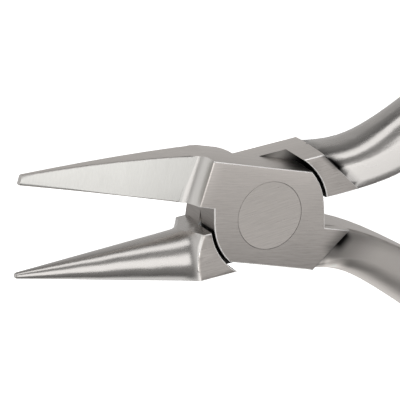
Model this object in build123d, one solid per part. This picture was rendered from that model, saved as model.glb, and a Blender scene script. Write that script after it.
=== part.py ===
"""Orthodontic bird-beak pliers: two forged steel halves crossed in a lap joint and held by one flush pivot pin."""

from build123d import *
import os
from math import acos, atan2, cos, degrees, hypot, radians, sin, sqrt, tan

# Sizes are in millimetres. The instrument lies flat: X runs from the beaks to the handle ends, Y across
# the instrument, Z along the pivot, with Z = 0 on the rear joint face that it rests on.
# Each half is drawn closed, with its beak above the centre line and its lap plate in front; the rear
# half is then turned over about the X axis, which brings its beak below and its plate behind.

# Lap joint
joint_thickness = 6.4
lap_gap = 0.04              # running gap between the two lap faces
disc_radius = 6.15          # round part of each lap plate
shoulder_clearance = 0.35   # between a lap plate's rim and the other half's hollow shoulder
upper_side = disc_radius - 1.25  # pivot to the upper side of the closed joint, at its faces
lower_side = disc_radius - 0.97  # pivot to the lower side of the closed joint, at its faces
side_crown = 0.28           # how far the ground sides swell at mid thickness
rest_opening = 19.5         # degrees between the halves as stored
rim_leaves_at_handle = 16.0  # degrees from the centre line where the rim runs off its circle
rim_leaves_at_beak = 14.0
edge_break = 0.1

# Pivot pin
head_diameter = 7.1
head_depth = 1.9
shank_diameter = 4.4
tail_diameter = 5.8         # riveted tail, at the rear face
tail_depth = 0.9
running_clearance = 0.02    # radial, between the pin and the half that turns on it
seat_clearance = 0.01       # radial, between the pin and the half that carries it
rim_chamfer = 0.04          # broken edges that leave a hairline round each end of the pin

# Beaks, both measured along the closed instrument
beak_root = 3.3             # from a lap plate's rim to the roots of the beaks
beak_length = 17.45
beak_line = 0.06            # height of the flat working face where it meets the joint
beak_line_drop = 0.39       # how much lower the working face lies at the tip
tip_contact_gap = 0.04      # what stays between the closed tips

# Flat, square-sided beak
square_tip_height = 1.05
square_tip_half_thickness = 0.32
square_mid = 8.75           # from the root to where the taper in thickness changes
square_mid_half_thickness = 0.80
square_root_half_thickness = 1.65
square_root_height = 4.85
square_back_bulge = 0.2     # how far the back of the beak bows out of a straight taper
square_back_bulge_at = 0.36  # share of the beak's length from its tip
square_cove_radius = 1.6
square_back_cove_radius = 3.0
square_cove_lean = 5.0      # degrees that the cove leans from square across the half
square_block_start = 2.2    # from the beak's root to where the block has its full width
square_edge_break = 0.12

# Round, conical beak
cone_tip_radius = 0.34
cone_neck_radius = 2.6
cone_neck_gap = 0.28        # between the cone and the flat working face at the neck, closed
cone_cove_radius = 2.0
cone_block_gap = 0.34       # between the two joint blocks at the centre line, closed
cone_block_side = disc_radius - 1.1  # pivot to the side below the cone, at the joint faces

# Handles
handle_half_thickness = 2.72
handle_end_half_thickness = 2.5
handle_bevel = 0.3          # flats along the two inner edges
handle_face_fall = 0.14     # how far the broad faces fall away towards the inner edges, past the root
handle_crest = 0.52         # share of the width at which the broad faces roll over into the round outer side
front_handle_inner = 0.68   # centre line to the inner side of the front half's handle, at the joint
rear_handle_inner = 0.33    # the same for the rear half
round_side_curves = 5
dome_length = 3.2           # rounded end

# Inner and outer point of each cross-section along the handles, on the closed half, with X measured from
# the lap plate's rim.
front_handle = [
    ((-1.15, -0.74), (-0.55, -5.32)),
    ((3.35, -0.74), (2.95, -5.45)),
    ((7.15, -1.36), (5.85, -5.83)),
    ((10.85, -2.36), (9.05, -6.92)),
    ((16.85, -4.36), (14.45, -9.26)),
]
rear_handle = [
    ((-1.15, -0.36), (-0.35, -5.16)),
    ((2.85, -0.20), (2.55, -5.04)),
    ((6.15, -0.28), (5.15, -5.20)),
    ((9.85, -0.76), (8.05, -6.02)),
    ((16.85, -4.30), (14.45, -8.84)),
]
handle_sweep = [
    ((24.65, -7.50), (22.15, -12.80)),
    ((34.85, -11.60), (32.65, -17.60)),
    ((46.85, -15.00), (45.45, -21.60)),
    ((60.85, -16.60), (60.85, -23.60)),
    ((75.85, -15.90), (76.65, -22.80)),
    ((88.85, -13.90), (90.05, -20.40)),
    ((95.45, -12.60), (96.85, -18.90)),
]

# Roots of the handles, section by section. Away from the lap plate they are level with the joint face and
# then slim down; on the plate's side they are slimmer from the start.
root_fullness = [0.46, 0.46, 0.38, 0.13]  # extra half thickness away from the plate
root_falls = [0.0, 0.0, 0.02, 0.08]
plate_side_falls = [0.14, 0.36, 0.30, 0.20]
plate_side_crests = [0.94, 0.66, 0.54]

# Diagonal end of the flat joint face, towards the handle
front_face_end = 0.2        # from the lap plate's rim to where it meets the side of the front half
rear_face_end = 0.45        # the same for the rear half
front_face_end_angle = 55.0  # degrees from the half's own axis
rear_face_end_angle = 52.0

half_thickness = joint_thickness / 2
shoulder_radius = disc_radius + shoulder_clearance
side_reach = 1.2 * (lower_side + side_crown)
beak_root_x = -disc_radius - beak_root
beak_tip_x = beak_root_x - beak_length
far = 10 * disc_radius      # longer than anything that is cut away


def rim(angle):
    """Point on a lap plate's round rim."""
    return (disc_radius * cos(radians(angle)), disc_radius * sin(radians(angle)))


def working_line(x):
    """Height of the flat beak's working face."""
    start = rim(180 - rim_leaves_at_beak)[0]
    return beak_line - beak_line_drop * (x - start) / (beak_tip_x - start)


def filled(*lines):
    """Face inside a closed loop of lines and curves."""
    return make_face([edge for line in lines for edge in line.edges()])


def crowned_sides(beak_side, handle_side):
    """Bar along X whose sides are the ground, slightly swelling sides of the joint."""
    top = joint_thickness
    high = beak_side + side_crown
    low = -handle_side - side_crown
    section = filled(
        Line((0, -handle_side, 0), (0, beak_side, 0)),
        ThreePointArc((0, beak_side, 0), (0, high, half_thickness), (0, beak_side, top)),
        Line((0, beak_side, top), (0, -handle_side, top)),
        ThreePointArc((0, -handle_side, top), (0, low, half_thickness), (0, -handle_side, 0)),
    )
    return extrude(section, amount=far, dir=(1, 0, 0), both=True)


def well():
    """Space behind a lap plate that the other half's plate turns in, with a broken rim."""
    space = Cylinder(shoulder_radius, far, align=(Align.CENTER, Align.CENTER, Align.MAX))
    broken = shoulder_radius + edge_break
    rim_break = Cone(broken, shoulder_radius, edge_break, align=(Align.CENTER, Align.CENTER, Align.MIN))
    return Pos(0, 0, half_thickness + lap_gap / 2) * space + rim_break


def break_edges(body):
    """Small chamfers along the outlines of the two ground joint faces."""
    flats = body.faces().filter_by(Axis.Z).group_by(Axis.Z)
    edges = [edge for faces in (flats[0], flats[-1]) for face in faces for edge in face.edges()]
    return chamfer([edge for edge in edges if edge.length > 10 * edge_break], edge_break)


def joint_block(beak_side, handle_side, handle_inner, face_end, beak_low, beak_end):
    """Full-thickness block of one half, from the root of its beak to the end of its flat joint face."""
    off_beak = rim(180 + rim_leaves_at_beak)
    off_handle = rim(rim_leaves_at_handle)
    notch_x = off_beak[0] - (beak_low - off_beak[1]) * tan(radians(rim_leaves_at_beak))
    inner_x = off_handle[0] + (off_handle[1] + handle_inner) * tan(radians(rim_leaves_at_handle))
    face_end_start, angle = face_end
    face_end_x = disc_radius + face_end_start
    slant = tan(radians(angle))
    end_high = (face_end_x + (handle_side - handle_inner) / slant, -handle_inner)
    end_low = (face_end_x - (side_reach - handle_side) / slant, -side_reach)
    high_rim = rim(68)
    low_rim = rim(248)
    outline = filled(
        Polyline(high_rim, (high_rim[0], side_reach), *beak_end, (notch_x, beak_low), off_beak),
        ThreePointArc(off_beak, rim(218), low_rim),
        Polyline(low_rim, (low_rim[0], -side_reach), end_low, end_high, (inner_x, -handle_inner), off_handle),
        ThreePointArc(off_handle, rim(42), high_rim),
    )
    block = extrude(outline, amount=joint_thickness, dir=(0, 0, 1))
    return break_edges(block) & break_edges(crowned_sides(beak_side, handle_side))


def round_side(crest, width, t):
    """Quarter of an ellipse from the crest to the outermost point, as a few short curves."""
    wide = width - crest
    step = radians(90) / round_side_curves
    pull = 4 / 3 * tan(step / 4)
    curves = []
    for i in range(round_side_curves):
        a = radians(90) - step * i
        b = a - step
        curves.append([
            (crest + wide * cos(a), t * sin(a)),
            (crest + wide * (cos(a) + pull * sin(a)), t * (sin(a) - pull * cos(a))),
            (crest + wide * (cos(b) - pull * sin(b)), t * (sin(b) + pull * cos(b))),
            (crest + wide * cos(b), t * sin(b)),
        ])
    return curves


def handle_section(inner, outer, front, back, grow=1.0, move=0.0):
    """D-shaped section, flat on the inner side; front and back each give half thickness, fall and crest."""
    width = hypot(outer[0] - inner[0], outer[1] - inner[1])
    across = Vector(outer[0] - inner[0], outer[1] - inner[1], 0).normalized()
    along = Vector(-across.Y, across.X, 0)
    centre = Vector(disc_radius + (inner[0] + outer[0]) / 2, (inner[1] + outer[1]) / 2, half_thickness)
    plane = Plane(origin=centre + along * move, x_dir=across, z_dir=-along)
    bevel = handle_bevel

    def curve(points):
        placed = [plane.from_local_coords(Vector((u - width / 2) * grow, v * grow, 0)) for u, v in points]
        return Line(*placed) if len(placed) == 2 else Bezier(*placed)

    def side(t, fall, share):
        rise = t - fall
        crest = width * share
        face = [
            (bevel, rise),
            (bevel + 0.3 * (crest - bevel), rise + 0.85 * fall),
            (crest - 0.4 * (crest - bevel), t),
            (crest, t),
        ]
        return [[(0, rise - bevel), (bevel, rise)], face, *round_side(crest, width, t)]

    front_side = side(*front)
    back_side = [[(u, -v) for u, v in reversed(points)] for points in reversed(side(*back))]
    inner_side = [back_side[-1][-1], front_side[0][0]]
    return filled(*[curve(points) for points in [*front_side, *back_side, inner_side]])


def at_station(i, root_values, usual):
    """Value for one cross-section, from the list for the root or else the usual one."""
    return root_values[i] if i < len(root_values) else usual


def handle(first_stations):
    """Forged handle sweeping outwards to its widest and gently back to a domed end."""
    stations = first_stations + handle_sweep
    slimming = (handle_half_thickness - handle_end_half_thickness) / (len(stations) - 1)
    sections = []
    for i, (inner, outer) in enumerate(stations):
        t = handle_half_thickness - slimming * i
        plate_fall = at_station(i, plate_side_falls, handle_face_fall)
        plate_side = (t, plate_fall, at_station(i, plate_side_crests, handle_crest))
        away_t = t + at_station(i, root_fullness, 0.0)
        away_side = (away_t, at_station(i, root_falls, handle_face_fall), handle_crest)
        sections.append(handle_section(inner, outer, plate_side, away_side))
    inner, outer = stations[-1]
    end = (handle_end_half_thickness, handle_face_fall, handle_crest)
    dome = []
    for step in (0.0, 0.35, 0.65, 0.87, 0.985):
        dome.append(handle_section(inner, outer, end, end, sqrt(1 - step**2), dome_length * step))
    return loft(sections) + loft(dome)


def square_beak():
    """Tapering four-sided beak."""
    inside = beak_root_x + square_block_start
    tip_low = (beak_tip_x, working_line(beak_tip_x))
    tip_high = (beak_tip_x + 0.06 * square_tip_height, tip_low[1] + square_tip_height)
    root = (beak_root_x, square_root_height)
    bowed_x = tip_high[0] + square_back_bulge_at * (root[0] - tip_high[0])
    bowed_y = tip_high[1] + square_back_bulge_at * (root[1] - tip_high[1]) + square_back_bulge
    low_inside = (inside, working_line(inside))
    plan = filled(
        Polyline(root, (inside, square_root_height), low_inside, tip_low, tip_high),
        Spline(tip_high, (bowed_x, bowed_y), root),
    )
    profile = [
        (inside, 1.15 * square_root_half_thickness),
        (beak_root_x, square_root_half_thickness),
        (beak_root_x - square_mid, square_mid_half_thickness),
        (beak_tip_x - square_tip_height, square_tip_half_thickness),
    ]
    front = [(x, 0, half_thickness + t) for x, t in profile]
    back = [(x, 0, half_thickness - t) for x, t in profile]
    side = filled(
        Line(back[0], front[0]),
        Spline(*front),
        Line(front[-1], back[-1]),
        Spline(*reversed(back)),
    )
    beak = extrude(plan, amount=joint_thickness, dir=(0, 0, 1))
    beak = beak & extrude(side, amount=far, dir=(0, 1, 0), both=True)
    long_edges = beak.edges().filter_by(lambda edge: edge.length > beak_length / 2)
    return chamfer(long_edges, square_edge_break)


def cone_neck():
    """Frame at the conical beak's neck, with its X axis along the beak towards the tip."""
    tip = (beak_tip_x + cone_tip_radius, -working_line(beak_tip_x) + tip_contact_gap + cone_tip_radius)
    neck = (beak_root_x, -working_line(beak_root_x) + cone_neck_gap + cone_neck_radius)
    turn = degrees(atan2(tip[1] - neck[1], tip[0] - neck[0]))
    return Pos(neck[0], neck[1], half_thickness) * Rot(0, 0, turn), hypot(tip[0] - neck[0], tip[1] - neck[1])


def cone_beak():
    """Conical beak with a ball tip, and the flared solid that shapes the block behind it."""
    place, length = cone_neck()
    taper = acos(cone_tip_radius / hypot(cone_neck_radius, length)) - atan2(length, cone_neck_radius)
    touch = (length + cone_tip_radius * sin(taper), cone_tip_radius * cos(taper))
    tip_turn = (radians(90) - taper) / 2
    on_tip = (length + cone_tip_radius * cos(tip_turn), cone_tip_radius * sin(tip_turn))
    tip = (length + cone_tip_radius, 0)
    neck = (0, cone_neck_radius)
    cone = revolve(filled(Polyline(tip, (0, 0), neck, touch), ThreePointArc(touch, on_tip, tip)), Axis.X)
    centre = (cone_cove_radius * sin(taper), cone_neck_radius + cone_cove_radius * cos(taper))
    foot = (centre[0] - cone_cove_radius, centre[1])
    bend = radians(225) - taper / 2
    on_cove = (centre[0] + cone_cove_radius * cos(bend), centre[1] + cone_cove_radius * sin(bend))
    flare = filled(
        ThreePointArc(neck, on_cove, foot),
        Polyline(foot, (foot[0], far), (-far, far), (-far, 0), (0, 0), neck),
    )
    return place * cone, place * revolve(flare, Axis.X)


def front_half():
    """Half with the front lap plate, the flat beak and the lower handle."""
    lean = tan(radians(square_cove_lean))
    cove_x = beak_root_x - square_root_height / 2 * lean
    full_side = upper_side + side_crown
    block_start_x = beak_root_x + square_block_start
    beak_end = (
        (block_start_x, side_reach),
        (block_start_x, full_side + lap_gap / 4),
        (cove_x + full_side * lean, square_root_height),
        (cove_x, beak_line),
    )
    face_end = (front_face_end, front_face_end_angle)
    block = joint_block(upper_side, lower_side, front_handle_inner, face_end, beak_line, beak_end)
    for side, radius in ((1, square_cove_radius), (-1, square_back_cove_radius)):
        axis_z = half_thickness + side * (square_root_half_thickness + radius)
        block -= Pos(cove_x, 0, axis_z) * Rot(0, 0, -square_cove_lean) * Rot(90, 0, 0) * Cylinder(radius, far)
    body = block + square_beak() + handle(front_handle) - well()
    bore = Cylinder(shank_diameter / 2 + seat_clearance, far)
    seat = Cylinder(head_diameter / 2 + seat_clearance, far, align=(Align.CENTER, Align.CENTER, Align.MIN))
    return body - bore - Pos(0, 0, joint_thickness - head_depth) * seat


def rear_half():
    """Half with the rear lap plate, the conical beak and the upper handle, drawn plate forward."""
    block_low = cone_block_gap - beak_line
    beyond_neck = beak_root_x - cone_cove_radius
    beak_end = ((beyond_neck, side_reach), (beyond_neck, block_low))
    face_end = (rear_face_end, rear_face_end_angle)
    block = joint_block(cone_block_side, upper_side, rear_handle_inner, face_end, block_low, beak_end)
    cone, flare = cone_beak()
    body = (block & flare) + cone + handle(rear_handle) - well()
    bore = Cylinder(shank_diameter / 2 + running_clearance, far)
    seat = Cylinder(tail_diameter / 2 + running_clearance, far, align=(Align.CENTER, Align.CENTER, Align.MIN))
    return body - bore - Pos(0, 0, joint_thickness - tail_depth - lap_gap) * seat


def pivot_pin():
    """Stepped pin, its broad head flush in front and its riveted tail flush behind."""
    head = Cylinder(head_diameter / 2, head_depth, align=(Align.CENTER, Align.CENTER, Align.MIN))
    head = chamfer(head.edges().group_by(Axis.Z)[-1], rim_chamfer)
    tail = Cylinder(tail_diameter / 2, tail_depth, align=(Align.CENTER, Align.CENTER, Align.MIN))
    tail = chamfer(tail.edges().group_by(Axis.Z)[0], rim_chamfer)
    shank = Cylinder(shank_diameter / 2, joint_thickness, align=(Align.CENTER, Align.CENTER, Align.MIN))
    return shank + Pos(0, 0, joint_thickness - head_depth) * head + tail


turn_over = Pos(0, 0, half_thickness) * Rot(180, 0, 0) * Pos(0, 0, -half_thickness)
parts = {
    "front_half": Rot(0, 0, -rest_opening / 2) * front_half(),
    "rear_half": Rot(0, 0, rest_opening / 2) * turn_over * rear_half(),
    "pivot_pin": pivot_pin(),
}
os.makedirs("parts", exist_ok=True)
for name, shape in parts.items():
    export_step(shape, f"parts/{name}.step")
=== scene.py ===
"""Looks for a pair of orthodontic bird-beak pliers: satin steel on a pale floor in soft studio light."""

import logging
import math
from dataclasses import dataclass, replace
from enum import Enum

import bmesh
import bpy
from mathutils import Matrix, Vector

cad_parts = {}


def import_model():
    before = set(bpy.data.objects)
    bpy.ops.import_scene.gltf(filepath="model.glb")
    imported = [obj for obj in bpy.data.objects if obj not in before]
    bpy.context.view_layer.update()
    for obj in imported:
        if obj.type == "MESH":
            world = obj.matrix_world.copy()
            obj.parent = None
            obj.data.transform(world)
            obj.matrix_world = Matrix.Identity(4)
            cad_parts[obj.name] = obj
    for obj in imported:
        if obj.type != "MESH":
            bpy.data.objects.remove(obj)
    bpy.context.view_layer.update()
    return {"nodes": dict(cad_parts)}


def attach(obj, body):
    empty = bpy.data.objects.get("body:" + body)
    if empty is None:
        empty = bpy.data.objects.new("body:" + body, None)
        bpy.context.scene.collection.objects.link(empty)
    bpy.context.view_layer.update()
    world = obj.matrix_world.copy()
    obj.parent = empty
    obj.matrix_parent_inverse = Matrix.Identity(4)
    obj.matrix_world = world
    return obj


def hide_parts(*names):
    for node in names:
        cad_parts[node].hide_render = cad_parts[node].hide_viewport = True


log = logging.getLogger("pliers")

MM = 0.001
THICKNESS = 6.4 * MM
HALF_OPENING_DEGREES = 9.75
NOISE_LOW = 0.3
NOISE_HIGH = 0.7
LINE_DETAIL = 4.0
LINE_ROUGHNESS = 0.65

Socket = bpy.types.NodeSocket
Color = tuple[float, float, float]
Limits = tuple[float, ...]
Value = Socket | Vector | Limits | float


def in_mm(*lengths: float) -> Limits:
    """Turns lengths in millimetres into the scene's metres."""
    return tuple(length * MM for length in lengths)


def place_in_mm(x: float, y: float) -> Vector:
    """Gives a place in the joint's plane from millimetres."""
    return Vector((x * MM, y * MM, 0.0))


def heading(degrees: float) -> Vector:
    """Gives a unit direction in the joint's plane from its angle to +X."""
    return Vector((math.cos(math.radians(degrees)), math.sin(math.radians(degrees)), 0.0))


TOP_FACE = in_mm(-0.10, -0.05, 0.30, 0.50)
UPPER_WALL = in_mm(-0.1, 0.0, 1.0, 1.8)


class Surface(Enum):
    """The kinds of steel surface that one half shows, with a painted highlight on the edge bevels and painted
    shade on the inner walls.
    """

    JOINT_FACE = "joint_face"
    BEAK_FACE = "beak_face"
    COVE = "cove"
    GROUND_SIDE = "ground_side"
    # Painted highlight on the small bevels along the joint faces.
    PAINTED_EDGE_HIGHLIGHT = "painted_edge_highlight"
    POLISHED = "polished"
    BRIGHT_HANDLE = "bright_handle"
    SATIN_HANDLE = "satin_handle"
    # Painted shade on the lap faces and rim walls deep in the joint.
    INNER_WALL_PAINTED_SHADE = "inner_wall_painted_shade"


@dataclass(frozen=True)
class Graph:
    """The node tree of a material or of the room, with the sums that tones are made of."""

    tree: bpy.types.NodeTree

    def add(self, kind: str, inputs: dict[int | str, Value], **options: str) -> bpy.types.Node:
        """Adds a node, sets its options and fills its inputs.

        Args:
            kind: The node's type.
            inputs: The socket or the value for each input, by name or number.
            options: The node's own options.

        Returns:
            The node.
        """
        node = self.tree.nodes.new(kind)
        for option, choice in options.items():
            setattr(node, option, choice)
        for slot, value in inputs.items():
            self.fill(node.inputs[slot], value)
        return node

    def fill(self, slot: Socket, value: Value) -> None:
        """Sets an input to a value, or links a socket to it.

        Args:
            slot: The input.
            value: The value or the socket.
        """
        if isinstance(value, Socket):
            self.tree.links.new(value, slot)
        else:
            slot.default_value = value

    def worked(self, operation: str, *values: Value) -> Socket:
        """Works out one sum between numbers."""
        return self.add("ShaderNodeMath", dict(enumerate(values)), operation=operation).outputs["Value"]

    def vectors(self, operation: str, *values: Value) -> bpy.types.Node:
        """Works out one sum between vectors."""
        return self.add("ShaderNodeVectorMath", dict(enumerate(values)), operation=operation)

    def part(self, place: Socket, axis: str) -> Socket:
        """Takes one coordinate out of a place."""
        return self.add("ShaderNodeSeparateXYZ", {"Vector": place}).outputs[axis]

    def turned(self, place: Socket, degrees: float) -> Socket:
        """Turns a place about the pivot's axis."""
        rotation = (0.0, 0.0, math.radians(degrees))
        return self.add("ShaderNodeMapping", {"Vector": place, "Rotation": rotation}).outputs["Vector"]

    def measured(self, place: Socket, start: Vector, direction: Vector) -> Socket:
        """Measures how far a place lies from a start along a unit direction."""
        along = self.vectors("DOT_PRODUCT", place, direction).outputs["Value"]
        return self.worked("SUBTRACT", along, start.dot(direction))

    def eased(self, source: Socket, zero_at: float, one_at: float) -> Socket:
        """Turns a value into a smooth step from 0 to 1."""
        limits = {"Value": source, "From Min": zero_at, "From Max": one_at}
        return self.add("ShaderNodeMapRange", limits, interpolation_type="SMOOTHSTEP").outputs["Result"]

    def window(self, source: Socket, limits: Limits) -> Socket:
        """Turns a value into one that is 1 between limits and eases to 0 outside them.

        Args:
            source: The value.
            limits: Where the window begins, is full, fades and is gone.

        Returns:
            The socket with the window's value.
        """
        begins, full, fades, gone = limits
        rising = self.eased(source, begins, full)
        falling = self.eased(source, gone, fades)
        return self.worked("MULTIPLY", rising, falling)

    def nearness(self, distance: Socket, reach: float) -> Socket:
        """Turns a distance to either side into a value from 1 at 0 to 0 at the reach."""
        return self.eased(self.worked("ABSOLUTE", distance), reach, 0.0)

    def spread(self, noise: Socket, middle: float, width: float) -> Socket:
        """Turns a noise value into one that swings about a middle.

        Args:
            noise: The noise value, which mostly lies between NOISE_LOW and NOISE_HIGH.
            middle: The value in the middle.
            width: How far it swings to either side.

        Returns:
            The socket with the value.
        """
        limits = {
            "Value": noise,
            "From Min": NOISE_LOW,
            "From Max": NOISE_HIGH,
            "To Min": middle - width,
            "To Max": middle + width,
        }
        return self.add("ShaderNodeMapRange", limits).outputs["Result"]

    def scaled(self, color: Color, factor: Socket) -> Socket:
        """Multiplies a colour by a factor."""
        inputs = {0: color, "Scale": factor}
        return self.add("ShaderNodeVectorMath", inputs, operation="SCALE").outputs["Vector"]

    def mixed(self, share: Socket, first: Value, second: Value) -> Socket:
        """Blends from a first colour to a second by a share."""
        inputs = {"Factor": share, "A": first, "B": second}
        return self.add("ShaderNodeMix", inputs, data_type="RGBA").outputs["Result"]


@dataclass(frozen=True)
class Edge:
    """A straight edge in the half's own direction: a place on it and the unit direction across it."""

    start: Vector
    outward: Vector

    def moved(self, distance: float) -> "Edge":
        """Gives the same edge moved outward."""
        return Edge(self.start + distance * self.outward, self.outward)

    def beyond(self, place: Vector) -> float:
        """Measures how far a place lies outward of the edge."""
        return (place - self.start).dot(self.outward)

    def leftward(self) -> Vector:
        """Gives the unit direction along the edge, a quarter turn left of outward."""
        return Vector((-self.outward.y, self.outward.x, 0.0))


@dataclass(frozen=True)
class Arc:
    """A round edge in the half's own direction: the middle and the radius of its circle."""

    middle: Vector
    radius: float


@dataclass(frozen=True, kw_only=True)
class Band:
    """A painted highlight or painted shade between depths below the joint face, or at every depth.

    Its gain is the share that the tone grows by where the band is full, less than 0 where it paints
    shade. Its drops are the depths where it begins, is full, fades and is gone.
    """

    gain: float
    drops: Limits | None = None
    darkest: float = 0.03

    def factor(self, graph: Graph, place: Socket) -> Socket:
        """Works out what the tone is multiplied by.

        Args:
            graph: The material's graph.
            place: The place in the half's own direction.

        Returns:
            The socket with the factor.
        """
        change: Value = self.gain
        for share in self.shares(graph, place):
            change = graph.worked("MULTIPLY", share, change)
        return graph.worked("MAXIMUM", graph.worked("ADD", change, 1.0), self.darkest)

    def shares(self, graph: Graph, place: Socket) -> list[Socket]:
        """Gives the values from 0 to 1 that the change is multiplied by.

        Args:
            graph: The material's graph.
            place: The place in the half's own direction.

        Returns:
            The sockets with the values.
        """
        if self.drops is None:
            return []
        heights = tuple(THICKNESS - drop for drop in self.drops)
        return [graph.window(graph.part(place, "Z"), heights)]


@dataclass(frozen=True, kw_only=True)
class EdgeBand(Band):
    """A band beside a straight edge, strongest at the edge and gone at its reach.

    Its span is measured along the edge, leftward from the start: where the band begins, is full, fades
    and is gone.
    """

    edge: Edge
    reach: float
    span: Limits | None = None

    def shares(self, graph: Graph, place: Socket) -> list[Socket]:
        """Adds the nearness to the edge, and the span, to the values.

        Args:
            graph: The material's graph.
            place: The place in the half's own direction.

        Returns:
            The sockets with the values.
        """
        beyond = graph.measured(place, self.edge.start, self.edge.outward)
        shares = [graph.nearness(beyond, self.reach), *super().shares(graph, place)]
        if self.span is not None:
            along = graph.measured(place, self.edge.start, self.edge.leftward())
            shares.append(graph.window(along, self.span))
        return shares


@dataclass(frozen=True, kw_only=True)
class ArcBand(Band):
    """A band beside a round edge, strongest at the edge and gone at its reach."""

    arc: Arc
    reach: float

    def shares(self, graph: Graph, place: Socket) -> list[Socket]:
        """Adds the nearness to the round edge to the values.

        Args:
            graph: The material's graph.
            place: The place in the half's own direction.

        Returns:
            The sockets with the values.
        """
        flat = graph.vectors("MULTIPLY", place, (1.0, 1.0, 0.0)).outputs["Vector"]
        from_middle = graph.vectors("DISTANCE", flat, self.arc.middle).outputs["Value"]
        beyond = graph.worked("SUBTRACT", from_middle, self.arc.radius)
        return [graph.nearness(beyond, self.reach), *super().shares(graph, place)]


@dataclass(frozen=True)
class FarFinish:
    """What a handle's finish turns into away from the joint, the same for both handles."""

    color: Color = (0.46, 0.442, 0.425)
    roughness: float = 0.38
    begins: float = 17.0 * MM
    full: float = 30.0 * MM

    def share(self, graph: Graph, place: Socket) -> Socket:
        """Works out how far the finish has changed at a place."""
        return graph.eased(graph.part(place, "X"), self.begins, self.full)


@dataclass(frozen=True)
class SteelFinish:
    """One finish of the steel: its colour, its gloss and the direction and size of its grinding lines."""

    color: Color
    roughness: float
    roughness_spread: float
    line_stretch: tuple[float, float, float]
    line_scale: float
    line_depth: float
    tone_spread: float
    metallic: float = 1.0
    far: FarFinish | None = None

    def build(
        self,
        name: str,
        turn_degrees: float,
        tone_slope: float = 0.0,
        bands: tuple[Band, ...] = (),
        grain_degrees: float = 0.0,
    ) -> bpy.types.Material:
        """Makes the material with its grinding lines laid in the half's own direction.

        Args:
            name: The material's name.
            turn_degrees: How far the half is turned about the pivot at rest.
            tone_slope: How much the tone grows per metre across the half.
            bands: Where painted shade and painted highlights fall on the steel.
            grain_degrees: How far the grinding lines lean from the half's own direction.

        Returns:
            The finished material.
        """
        material = bpy.data.materials.new(name)
        material.use_nodes = True
        graph = Graph(material.node_tree)
        shader = material.node_tree.nodes["Principled BSDF"]
        place = graph.turned(graph.add("ShaderNodeTexCoord", {}).outputs["Object"], -turn_degrees)
        lines = self.grinding_lines(graph, graph.turned(place, -grain_degrees))
        tone = graph.spread(lines, 1.0, self.tone_spread)
        gloss = graph.spread(lines, self.roughness, self.roughness_spread)
        rise = graph.worked("MULTIPLY", graph.part(place, "Y"), tone_slope)
        shade = graph.worked("ADD", tone, rise)
        # Each band paints shade or a highlight into the tone.
        for band in bands:
            shade = graph.worked("MULTIPLY", shade, band.factor(graph, place))
        tint = graph.scaled(self.color, shade)
        if self.far is not None:
            share = self.far.share(graph, place)
            tint = graph.mixed(share, tint, graph.scaled(self.far.color, tone))
            change = graph.worked("MULTIPLY", share, self.far.roughness - self.roughness)
            gloss = graph.worked("ADD", gloss, change)
        relief = {"Strength": 1.0, "Distance": self.line_depth, "Height": lines}
        bump = graph.add("ShaderNodeBump", relief)
        graph.fill(shader.inputs["Metallic"], self.metallic)
        graph.fill(shader.inputs["Base Color"], tint)
        graph.fill(shader.inputs["Roughness"], gloss)
        graph.fill(shader.inputs["Normal"], bump.outputs["Normal"])
        return material

    def grinding_lines(self, graph: Graph, place: Socket) -> Socket:
        """Draws the grinding lines as stretched noise.

        Args:
            graph: The material's graph.
            place: The place in the direction of the lines.

        Returns:
            The socket with the noise value.
        """
        stretched = graph.add("ShaderNodeMapping", {"Vector": place, "Scale": self.line_stretch})
        noise = {
            "Vector": stretched.outputs["Vector"],
            "Scale": self.line_scale,
            "Detail": LINE_DETAIL,
            "Roughness": LINE_ROUGHNESS,
        }
        return graph.add("ShaderNodeTexNoise", noise).outputs["Fac"]


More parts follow.
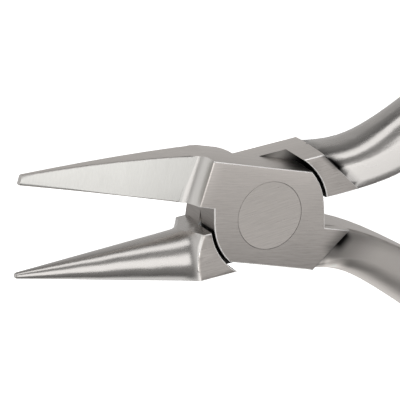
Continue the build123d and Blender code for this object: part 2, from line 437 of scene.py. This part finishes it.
FINISHES = {
    Surface.JOINT_FACE: SteelFinish(
        color=(0.309, 0.289, 0.274),
        roughness=0.36,
        roughness_spread=0.10,
        line_stretch=(150.0, 3000.0, 150.0),
        line_scale=3.0,
        line_depth=0.004 * MM,
        tone_spread=0.22,
    ),
    Surface.BEAK_FACE: SteelFinish(
        color=(0.605, 0.599, 0.576),
        roughness=0.40,
        roughness_spread=0.07,
        line_stretch=(1500.0, 90.0, 90.0),
        line_scale=2.2,
        line_depth=0.004 * MM,
        tone_spread=0.10,
    ),
    Surface.COVE: SteelFinish(
        color=(0.63, 0.612, 0.588),
        roughness=0.34,
        roughness_spread=0.05,
        line_stretch=(1500.0, 90.0, 90.0),
        line_scale=2.2,
        line_depth=0.003 * MM,
        tone_spread=0.05,
    ),
    Surface.GROUND_SIDE: SteelFinish(
        color=(0.68, 0.645, 0.615),
        roughness=0.40,
        roughness_spread=0.05,
        line_stretch=(70.0, 1500.0, 1500.0),
        line_scale=3.0,
        line_depth=0.003 * MM,
        tone_spread=0.09,
    ),
    # Painted highlight: a near-white, half-metallic colour on the edge bevels stands in for their bright
    # reflections.
    Surface.PAINTED_EDGE_HIGHLIGHT: SteelFinish(
        color=(0.90, 0.88, 0.86),
        roughness=0.45,
        roughness_spread=0.05,
        line_stretch=(300.0, 300.0, 300.0),
        line_scale=3.0,
        line_depth=0.002 * MM,
        tone_spread=0.10,
        metallic=0.35,
    ),
    Surface.POLISHED: SteelFinish(
        color=(0.52, 0.502, 0.485),
        roughness=0.27,
        roughness_spread=0.04,
        line_stretch=(80.0, 900.0, 900.0),
        line_scale=2.0,
        line_depth=0.002 * MM,
        tone_spread=0.03,
    ),
    Surface.BRIGHT_HANDLE: SteelFinish(
        color=(0.52, 0.502, 0.485),
        roughness=0.25,
        roughness_spread=0.04,
        line_stretch=(80.0, 900.0, 900.0),
        line_scale=2.0,
        line_depth=0.001 * MM,
        tone_spread=0.05,
        far=FarFinish(),
    ),
    Surface.SATIN_HANDLE: SteelFinish(
        color=(0.42, 0.397, 0.378),
        roughness=0.55,
        roughness_spread=0.04,
        line_stretch=(80.0, 900.0, 900.0),
        line_scale=2.0,
        line_depth=0.001 * MM,
        tone_spread=0.05,
        far=FarFinish(),
    ),
    # Painted shade: near black, standing in for the shadow deep in the joint's narrow gaps.
    Surface.INNER_WALL_PAINTED_SHADE: SteelFinish(
        color=(0.022, 0.021, 0.020),
        roughness=0.50,
        roughness_spread=0.05,
        line_stretch=(300.0, 300.0, 900.0),
        line_scale=3.0,
        line_depth=0.003 * MM,
        tone_spread=0.05,
    ),
}


@dataclass(frozen=True)
class Zones:
    """Where the kinds of surface lie on a half.

    Places and normals are in the half's own direction. A facing is the part of a face's unit normal along
    an axis, and a slack is how far off a place may lie.
    """

    disc_radius: float = 6.15 * MM
    face_slack: float = 0.01 * MM
    face_facing: float = 0.999
    lap_slack: float = 0.1 * MM
    lap_facing: float = 0.99
    lap_share: float = 1.6
    block_begins_x: float = -8.0 * MM
    block_side_y: float = 4.0 * MM
    block_side_facing: float = 0.9
    end_slack: float = 0.02 * MM
    edge_break: float = 0.1 * MM
    break_share: float = 0.4
    break_facing_low: float = 0.5
    break_facing_high: float = 0.9
    cove_end_x: float = -7.2 * MM
    cove_facing: float = 0.16
    beak_begins_y: float = -0.5 * MM
    beak_side_facing: float = 0.7
    rim_gap: float = 0.6 * MM
    rim_facing_z: float = 0.3
    rim_facing_y: float = 0.97
    throat_half_width: float = 2.0 * MM
    strip_facing: float = 0.8

    def on_joint_face(self, place: Vector, facing: Vector) -> bool:
        """Tells whether a place is on the front or the rear joint face."""
        at_height = abs(place.z - THICKNESS) < self.face_slack or abs(place.z) < self.face_slack
        return abs(facing.z) > self.face_facing and at_height

    def on_lap(self, place: Vector, facing: Vector) -> bool:
        """Tells whether a place is on the lap plate's inner face.

        Args:
            place: The place.
            facing: The face's normal there.

        Returns:
            Whether it is.
        """
        at_height = abs(place.z - THICKNESS / 2) < self.lap_slack
        within = math.hypot(place.x, place.y) < self.lap_share * self.disc_radius
        return abs(facing.z) > self.lap_facing and at_height and within

    def on_block(self, place: Vector, end: Edge) -> bool:
        """Tells whether a place is on the joint's block, up to its diagonal end."""
        return place.x > self.block_begins_x and end.beyond(place) < self.end_slack

    def in_edge_break(self, place: Vector, facing: Vector) -> bool:
        """Tells whether a place is on the small bevel along a joint face.

        Args:
            place: The place.
            facing: The face's normal there.

        Returns:
            Whether it is.
        """
        below_face = THICKNESS / 2 - abs(place.z - THICKNESS / 2)
        from_middle = abs(below_face - self.edge_break / 2)
        slanted = self.break_facing_low < abs(facing.z) < self.break_facing_high
        return from_middle < self.break_share * self.edge_break and slanted

    def on_flat_beak(self, place: Vector) -> bool:
        """Tells whether a place is on the flat beak or its cove."""
        return place.x < self.cove_end_x and place.y > self.beak_begins_y

    def beak_surface(self, facing: Vector) -> Surface:
        """Names the kind of surface on the flat beak.

        Args:
            facing: The face's normal there.

        Returns:
            The kind of surface.
        """
        if abs(facing.y) > self.beak_side_facing:
            return Surface.GROUND_SIDE
        return Surface.COVE if facing.x < -self.cove_facing else Surface.BEAK_FACE

    def on_rim(self, place: Vector, facing: Vector) -> bool:
        """Tells whether a place is on the round rim or the hollow shoulder that it turns in.

        Args:
            place: The place.
            facing: The face's normal there.

        Returns:
            Whether it is.
        """
        within = math.hypot(place.x, place.y) < self.disc_radius + self.rim_gap
        return within and abs(facing.z) < self.rim_facing_z and abs(facing.y) < self.rim_facing_y

    def in_throat(self, place: Vector) -> bool:
        """Tells whether a place on the rim is open to view between the beaks."""
        return place.x < 0.0 and abs(place.y) < self.throat_half_width

    def on_block_side(self, place: Vector, facing: Vector) -> bool:
        """Tells whether a place on the block is on one of its ground sides."""
        return abs(facing.y) > self.block_side_facing and abs(place.y) > self.block_side_y


@dataclass(kw_only=True)
class Half:
    """One forged half: beak, lap plate and handle in one piece of steel.

    Its end is the diagonal edge where the joint face stops at the handle, and its strip is the handle's
    side towards +Y.
    """

    node: str
    body: str
    slot: str
    turn_degrees: float
    end: Edge
    handle_surface: Surface
    strip_surface: Surface
    has_flat_beak: bool
    face_slope: float = 0.0
    face_grain_degrees: float = 0.0
    merge_distance: float = 0.002 * MM
    smooth_angle_degrees: float = 50.0
    zones: Zones = Zones()

    def bands(self) -> dict[Surface, tuple[Band, ...]]:
        """Gives the bands of painted light and shade on each kind of surface, none unless the half's class
        has them.
        """
        return {}

    def build(self, nodes: dict[str, bpy.types.Object]) -> bpy.types.Object:
        """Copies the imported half, smooths it and gives each region its finish.

        Args:
            nodes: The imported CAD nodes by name.

        Returns:
            The piece that stands for the node.
        """
        mesh = nodes[self.node].data.copy()
        mesh.name = f"{self.node}_steel"
        self.join_vertices(mesh)
        piece = bpy.data.objects.new(f"{self.node}_steel", mesh)
        bpy.context.scene.collection.objects.link(piece)
        self.dress(mesh)
        sweep = piece.modifiers.new("edge_sweep", "WEIGHTED_NORMAL")
        sweep.mode = "FACE_AREA"
        sweep.keep_sharp = True
        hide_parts(self.node)
        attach(piece, self.body)
        return piece

    def join_vertices(self, mesh: bpy.types.Mesh) -> None:
        """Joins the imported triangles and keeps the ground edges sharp.

        Args:
            mesh: The copy of the node's mesh, changed in place.
        """
        shape = bmesh.new()
        shape.from_mesh(mesh)
        bmesh.ops.remove_doubles(shape, verts=shape.verts, dist=self.merge_distance)
        limit = math.radians(self.smooth_angle_degrees)
        for edge in shape.edges:
            edge.smooth = len(edge.link_faces) == 2 and edge.calc_face_angle(0.0) < limit
        for face in shape.faces:
            face.smooth = True
        shape.to_mesh(mesh)
        shape.free()
        if "custom_normal" in mesh.attributes:
            mesh.attributes.remove(mesh.attributes["custom_normal"])

    def dress(self, mesh: bpy.types.Mesh) -> None:
        """Gives each face of the mesh the finish of its kind of surface.

        Args:
            mesh: The copy of the node's mesh, changed in place.
        """
        surfaces = list(Surface)
        bands = self.bands()
        mesh.materials.clear()
        for surface in surfaces:
            name = f"{self.node}_{surface.value}"
            on_face = surface is Surface.JOINT_FACE
            slope = self.face_slope if on_face else 0.0
            grain = self.face_grain_degrees if on_face else 0.0
            finish = FINISHES[surface]
            material = finish.build(name, self.turn_degrees, slope, bands.get(surface, ()), grain)
            mesh.materials.append(material)
        for polygon in mesh.polygons:
            surface = self.surface_at(polygon.center, polygon.normal)
            polygon.material_index = surfaces.index(surface)

    def surface_at(self, centre: Vector, normal: Vector) -> Surface:
        """Names the kind of surface at a place on the half.

        Args:
            centre: The middle of a face, in the object's frame.
            normal: The face's normal, in the same frame.

        Returns:
            The kind of surface there.
        """
        turn = Matrix.Rotation(math.radians(-self.turn_degrees), 3, "Z")
        place = turn @ centre
        facing = turn @ normal
        if self.zones.on_joint_face(place, facing):
            return Surface.JOINT_FACE
        # The lap face gets the near-black painted shade.
        if self.zones.on_lap(place, facing):
            return Surface.INNER_WALL_PAINTED_SHADE
        on_block = self.zones.on_block(place, self.end)
        # The edge bevels on the block get the painted edge highlight.
        if on_block and self.zones.in_edge_break(place, facing):
            return Surface.PAINTED_EDGE_HIGHLIGHT
        if self.has_flat_beak and self.zones.on_flat_beak(place):
            return self.zones.beak_surface(facing)
        if self.zones.on_rim(place, facing):
            # Rim walls open to view in the throat keep the joint face's finish; the others get the near-black
            # painted shade.
            return Surface.JOINT_FACE if self.zones.in_throat(place) else Surface.INNER_WALL_PAINTED_SHADE
        if on_block and self.zones.on_block_side(place, facing):
            return Surface.GROUND_SIDE
        if place.x > 0.0:
            on_strip = facing.y > self.zones.strip_facing
            return self.strip_surface if on_strip else self.handle_surface
        return Surface.POLISHED


@dataclass(kw_only=True)
class FrontHalf(Half):
    """The half with the flat beak and the lower handle."""

    node: str = "front_half"
    body: str = "front"
    slot: str = "front_steel"
    turn_degrees: float = -HALF_OPENING_DEGREES
    end: Edge = Edge(place_in_mm(6.35, -5.18), heading(-35.0))
    handle_surface: Surface = Surface.SATIN_HANDLE
    strip_surface: Surface = Surface.GROUND_SIDE
    has_flat_beak: bool = True
    face_slope: float = 38.0
    face_grain_degrees: float = 4.5
    cove: Edge = Edge(place_in_mm(-8.06, 0.0), heading(-5.0))
    cove_width: float = 1.9 * MM
    valley_offset: float = 0.3 * MM

    def bands(self) -> dict[Surface, tuple[Band, ...]]:
        """Gives the bands of painted light and shade on each kind of surface.

        Returns:
            The bands by the kind of surface.
        """
        # Painted shade on the top of the joint face near the diagonal end, which also dims the edge highlight
        # there.
        corner = EdgeBand(
            edge=self.end, reach=1.5 * MM, gain=-0.55, drops=TOP_FACE, span=in_mm(1.8, 3.0, 5.0, 6.2)
        )
        # Painted shade: a thin dark line along the diagonal end.
        groove = EdgeBand(
            edge=self.end, reach=0.42 * MM, gain=-0.85, drops=UPPER_WALL, span=in_mm(-1.5, -0.2, 4.6, 5.6)
        )
        # Painted highlight and painted sheen along the cove's edge on the joint face.
        cove_edge_highlight = EdgeBand(edge=self.cove, reach=0.24 * MM, gain=0.9, drops=TOP_FACE)
        cove_painted_sheen = EdgeBand(edge=self.cove, reach=1.6 * MM, gain=0.16, drops=TOP_FACE)
        # Painted shade at the foot of the cove.
        cove_root_shade = EdgeBand(edge=self.cove.moved(-self.cove_width), reach=1.2 * MM, gain=-0.26)
        # Darker towards the root of the flat beak.
        beak_root = EdgeBand(edge=Edge(self.cove.start, heading(0.0)), reach=10.0 * MM, gain=-0.15)
        return {
            Surface.SATIN_HANDLE: (*self.valley(), groove, *self.root_highlights()),
            Surface.JOINT_FACE: (cove_edge_highlight, cove_painted_sheen, corner),
            Surface.PAINTED_EDGE_HIGHLIGHT: (corner, groove),
            Surface.BEAK_FACE: (beak_root,),
            Surface.COVE: (cove_root_shade,),
        }

    def valley(self) -> tuple[Band, ...]:
        """Gives the painted shade of the valley beside the diagonal end and its painted black middle.

        Returns:
            The bands.
        """
        # Painted shade over the valley.
        shade = EdgeBand(
            edge=self.end,
            reach=5.5 * MM,
            gain=-0.60,
            drops=in_mm(0.30, 0.45, 0.70, 1.20),
            span=in_mm(0.3, 2.6, 7.0, 9.0),
        )
        # Painted shade: the black middle of the valley.
        core = EdgeBand(
            edge=self.end.moved(self.valley_offset),
            reach=1.35 * MM,
            gain=-1.15,
            drops=UPPER_WALL,
            span=in_mm(2.6, 4.0, 4.9, 5.6),
        )
        return shade, core

    def root_highlights(self) -> tuple[Band, ...]:
        """Gives the painted highlights on the handle's sides and the painted bright patches at its root.

        Returns:
            The bands.
        """
        # Painted highlights on the handle's sides and at its root.
        sides = Band(gain=0.70, drops=in_mm(0.62, 1.35, 7.0, 8.0))
        outer = EdgeBand(
            edge=Edge(place_in_mm(8.2, -4.6), heading(-90.0)),
            reach=0.8 * MM,
            gain=0.9,
            drops=in_mm(0.20, 0.40, 1.2, 2.0),
            span=in_mm(-1.4, -0.8, 0.8, 2.8),
        )
        wedge = EdgeBand(
            edge=Edge(place_in_mm(8.3, -4.3), heading(-90.0)),
            reach=0.75 * MM,
            gain=1.2,
            drops=in_mm(0.20, 0.40, 0.8, 1.2),
            span=in_mm(-0.8, -0.1, 0.9, 2.6),
        )
        return sides, outer, wedge


@dataclass(kw_only=True)
class RearHalf(Half):
    """The half with the conical beak and the upper handle."""

    node: str = "rear_half"
    body: str = "rear"
    slot: str = "rear_steel"
    turn_degrees: float = HALF_OPENING_DEGREES
    end: Edge = Edge(place_in_mm(6.60, 4.90), heading(38.0))
    handle_surface: Surface = Surface.BRIGHT_HANDLE
    strip_surface: Surface = Surface.BRIGHT_HANDLE
    has_flat_beak: bool = False
    flare: Arc = Arc(place_in_mm(-1.448, -3.775), 6.822 * MM)
    # How wide and how strong the painted highlight along the flare's edge is.
    flare_highlight_reach: float = 0.22 * MM
    flare_highlight_gain: float = 0.85

    def bands(self) -> dict[Surface, tuple[Band, ...]]:
        """Gives the bands of painted light and shade on each kind of surface.

        Returns:
            The bands by the kind of surface.
        """
        valley_drops = in_mm(-0.1, 0.0, 0.5, 1.0)
        valley_span = in_mm(-3.2, -2.2, -0.5, 0.1)
        # Painted shade along the diagonal end: a dark line, a wider shade and a band beside it.
        groove = EdgeBand(edge=self.end, reach=0.7 * MM, gain=-1.2, drops=valley_drops, span=valley_span)
        shade = EdgeBand(edge=self.end, reach=1.3 * MM, gain=-0.60, drops=valley_drops, span=valley_span)
        beside = EdgeBand(edge=self.end, reach=1.0 * MM, gain=-0.35)
        # Painted shade that dims the edge highlight near the diagonal end.
        end_edge_shade = EdgeBand(edge=self.end, reach=0.35 * MM, gain=-0.50)
        # Painted shade on the top of the joint face near the diagonal end.
        corner = EdgeBand(
            edge=self.end, reach=0.6 * MM, gain=-0.60, drops=TOP_FACE, span=in_mm(-2.8, -1.8, 0.2, 1.0)
        )
        # Painted highlight along the flare's round edge.
        flare_highlight = ArcBand(arc=self.flare, reach=self.flare_highlight_reach, gain=self.flare_highlight_gain, drops=TOP_FACE)
        return {
            Surface.BRIGHT_HANDLE: (groove, shade, beside),
            Surface.JOINT_FACE: (flare_highlight, self.flare_top_highlight(), corner),
            Surface.PAINTED_EDGE_HIGHLIGHT: (end_edge_shade, groove),
            Surface.POLISHED: (flare_highlight,),
            Surface.INNER_WALL_PAINTED_SHADE: self.lap_opening_light(),
        }

    def flare_top_highlight(self) -> Band:
        """Gives the painted highlight that closes the flare's round edge towards the throat.

        Returns:
            The band.
        """
        return EdgeBand(
            edge=Edge(place_in_mm(-7.0, -0.38), heading(90.0)),
            reach=self.flare_highlight_reach,
            gain=self.flare_highlight_gain,
            drops=TOP_FACE,
            span=in_mm(-0.6, -0.4, 0.4, 0.5),
        )

    def lap_opening_light(self) -> tuple[Band, ...]:
        """Gives the painted light that lifts the lap face's painted shade where it shows beside the handle
        and in the throat.

        Returns:
            The bands.
        """
        lap_face = in_mm(2.9, 3.1, 3.3, 3.5)
        handle_side = Edge(place_in_mm(3.58, 4.89), heading(-56.5))
        throat_side = Edge(place_in_mm(-6.35, 0.0), heading(0.0))
        # Painted light that lifts the lap face's painted shade near its open sides.
        beside_handle = EdgeBand(edge=handle_side, reach=1.9 * MM, gain=16.0, drops=lap_face)
        beside_throat = EdgeBand(edge=throat_side, reach=1.0 * MM, gain=9.0, drops=lap_face)
        return beside_handle, beside_throat


@dataclass
class PivotPin:
    """The flush pivot pin."""

    node: str = "pivot_pin"
    turn_degrees: float = 14.0
    color: Color = (0.334, 0.313, 0.296)

    def build(self, nodes: dict[str, bpy.types.Object]) -> bpy.types.Object:
        """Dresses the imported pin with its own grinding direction.

        Args:
            nodes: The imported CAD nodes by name.

        Returns:
            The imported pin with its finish.
        """
        pin = nodes[self.node]
        finish = replace(FINISHES[Surface.JOINT_FACE], color=self.color)
        pin.data.materials.clear()
        pin.data.materials.append(finish.build("pin_face", self.turn_degrees))
        return pin


@dataclass(frozen=True)
class SoftBox:
    """A rectangular soft light that faces the joint."""

    name: str
    place: Vector
    size: Vector
    brightness: float

    def build(self) -> bpy.types.Object:
        """Makes the light, with its power worked out from the brightness of its face.

        Returns:
            The light object.
        """
        lamp = bpy.data.lights.new(self.name, "AREA")
        lamp.shape = "RECTANGLE"
        lamp.size, lamp.size_y = self.size
        lamp.energy = self.brightness * math.pi * self.size.x * self.size.y
        box = bpy.data.objects.new(self.name, lamp)
        bpy.context.scene.collection.objects.link(box)
        away = self.place.normalized()
        along = (Vector((1.0, 0.0, 0.0)) - away * away.x).normalized()
        turn = Matrix((along, away.cross(along), away)).transposed().to_4x4()
        box.matrix_world = Matrix.Translation(self.place) @ turn
        return box


@dataclass(frozen=True)
class Floor:
    """The pale floor, which lies just under the object."""

    size: float = 3.0
    gap: float = 0.02 * MM
    tone: float = 0.8
    roughness: float = 0.9
    glow: float = 1.0

    def build(self) -> bpy.types.Object:
        """Lays the floor.

        Returns:
            The floor.
        """
        shape = bmesh.new()
        bmesh.ops.create_grid(shape, x_segments=1, y_segments=1, size=self.size / 2)
        mesh = bpy.data.meshes.new("floor")
        shape.to_mesh(mesh)
        shape.free()
        floor = bpy.data.objects.new("floor", mesh)
        floor.location.z = -self.gap
        bpy.context.scene.collection.objects.link(floor)
        material = bpy.data.materials.new("pale_floor")
        material.use_nodes = True
        shader = material.node_tree.nodes["Principled BSDF"]
        shader.inputs["Base Color"].default_value = (self.tone, self.tone, self.tone, 1.0)
        shader.inputs["Roughness"].default_value = self.roughness
        shader.inputs["Emission Color"].default_value = (1.0, 1.0, 1.0, 1.0)
        shader.inputs["Emission Strength"].default_value = self.glow
        mesh.materials.append(material)
        # The steel mirrors the grey room below it, not the glowing floor.
        floor.visible_glossy = False
        return floor


@dataclass(frozen=True)
class Room:
    """The grey room: dark towards the horizon, pale beyond the beaks and glowing low beside the lower handle.

    The tones run from straight down to straight up. Each pair of limits tells where, along one part of a
    direction, a light begins and is full.
    """

    tones: tuple[tuple[float, float], ...] = (
        (0.0, 0.64),
        (0.20, 0.54),
        (0.36, 0.28),
        (0.52, 0.15),
        (0.80, 0.28),
        (1.0, 0.38),
    )
    warmth: Color = (1.0, 0.99, 0.98)
    wall_tone: float = 0.92
    wall_limits: tuple[float, float] = (-0.42, -0.85)
    glow_tone: float = 1.05
    glow_toward: tuple[float, float] = (-0.35, -0.85)
    glow_below: tuple[float, float] = (0.12, -0.30)

    def build(self) -> bpy.types.World:
        """Fills the room with light.

        Returns:
            The room.
        """
        world = bpy.data.worlds.new("room")
        world.use_nodes = True
        graph = Graph(world.node_tree)
        direction = graph.add("ShaderNodeTexCoord", {}).outputs["Generated"]
        grey = self.grey(graph, graph.part(direction, "Z"))
        beyond_beaks = graph.eased(graph.part(direction, "X"), *self.wall_limits)
        toward = graph.eased(graph.part(direction, "Y"), *self.glow_toward)
        below = graph.eased(graph.part(direction, "Z"), *self.glow_below)
        walled = graph.mixed(beyond_beaks, grey, (self.wall_tone, self.wall_tone, self.wall_tone, 1.0))
        glow = (self.glow_tone, self.glow_tone, self.glow_tone, 1.0)
        lit = graph.mixed(graph.worked("MULTIPLY", toward, below), walled, glow)
        graph.fill(world.node_tree.nodes["Background"].inputs["Color"], lit)
        bpy.context.scene.world = world
        return world

    def grey(self, graph: Graph, upward: Socket) -> Socket:
        """Gives the room's grey by how far up a direction points.

        Args:
            graph: The room's graph.
            upward: The upward part of the direction, from -1 to 1.

        Returns:
            The socket with the grey.
        """
        limits = {"Value": upward, "From Min": -1.0, "From Max": 1.0}
        height = graph.add("ShaderNodeMapRange", limits).outputs["Result"]
        ramp = graph.add("ShaderNodeValToRGB", {"Fac": height})
        elements = ramp.color_ramp.elements
        for position, _ in self.tones[len(elements):]:
            elements.new(position)
        for element, (position, tone) in zip(elements, self.tones):
            element.position = position
            element.color = (*(tone * part for part in self.warmth), 1.0)
        ramp.color_ramp.interpolation = "EASE"
        return ramp.outputs["Color"]


@dataclass(frozen=True)
class PhotoCamera:
    """The camera at the photograph's angle."""

    lens: float = 630.0
    sensor: float = 36.0
    place: tuple[float, float, float] = (-0.31367, 0.20651, 0.59717)
    right: tuple[float, float, float] = (0.89538, 0.06672, 0.44027)
    up: tuple[float, float, float] = (0.07260, 0.95361, -0.29216)
    nearest: float = 0.05
    farthest: float = 10.0

    def build(self) -> bpy.types.Object:
        """Places the camera.

        Returns:
            The camera object.
        """
        camera = bpy.data.cameras.new("camera")
        camera.lens = self.lens
        camera.sensor_width = self.sensor
        camera.clip_start = self.nearest
        camera.clip_end = self.farthest
        right = Vector(self.right)
        up = Vector(self.up)
        turn = Matrix((right, up, right.cross(up))).transposed().to_4x4()
        holder = bpy.data.objects.new("camera", camera)
        bpy.context.scene.collection.objects.link(holder)
        holder.matrix_world = Matrix.Translation(self.place) @ turn
        bpy.context.scene.camera = holder
        return holder


@dataclass
class Studio:
    """The floor, the room, the soft boxes and the camera."""

    floor: Floor = Floor()
    room: Room = Room()
    boxes: tuple[SoftBox, ...] = (
        SoftBox("overhead_box", Vector((0.015, -0.08, 0.80)), Vector((0.63, 0.72)), 1.25),
        SoftBox("side_box", Vector((0.56, -0.12, 0.80)), Vector((0.46, 0.50)), 1.25),
        SoftBox("far_box", Vector((0.10, 0.72, 0.34)), Vector((1.2, 0.38)), 1.4),
    )
    camera: PhotoCamera = PhotoCamera()

    def build(self) -> None:
        """Builds each part of the studio, with colours shown as they are, without a film curve."""
        for part in (self.floor, self.room, *self.boxes, self.camera):
            part.build()
        bpy.context.scene.view_settings.view_transform = "Standard"


def main() -> None:
    """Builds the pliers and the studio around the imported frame."""
    logging.basicConfig(level=logging.INFO, format="%(name)s: %(message)s")
    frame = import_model()
    nodes = frame["nodes"]
    for part in (FrontHalf(), RearHalf(), PivotPin()):
        piece = part.build(nodes)
        log.info("%s: %d faces", piece.name, len(piece.data.polygons))
    studio = Studio()
    studio.build()
    log.info("studio: %d soft boxes", len(studio.boxes))


if __name__ == "__main__":
    main()
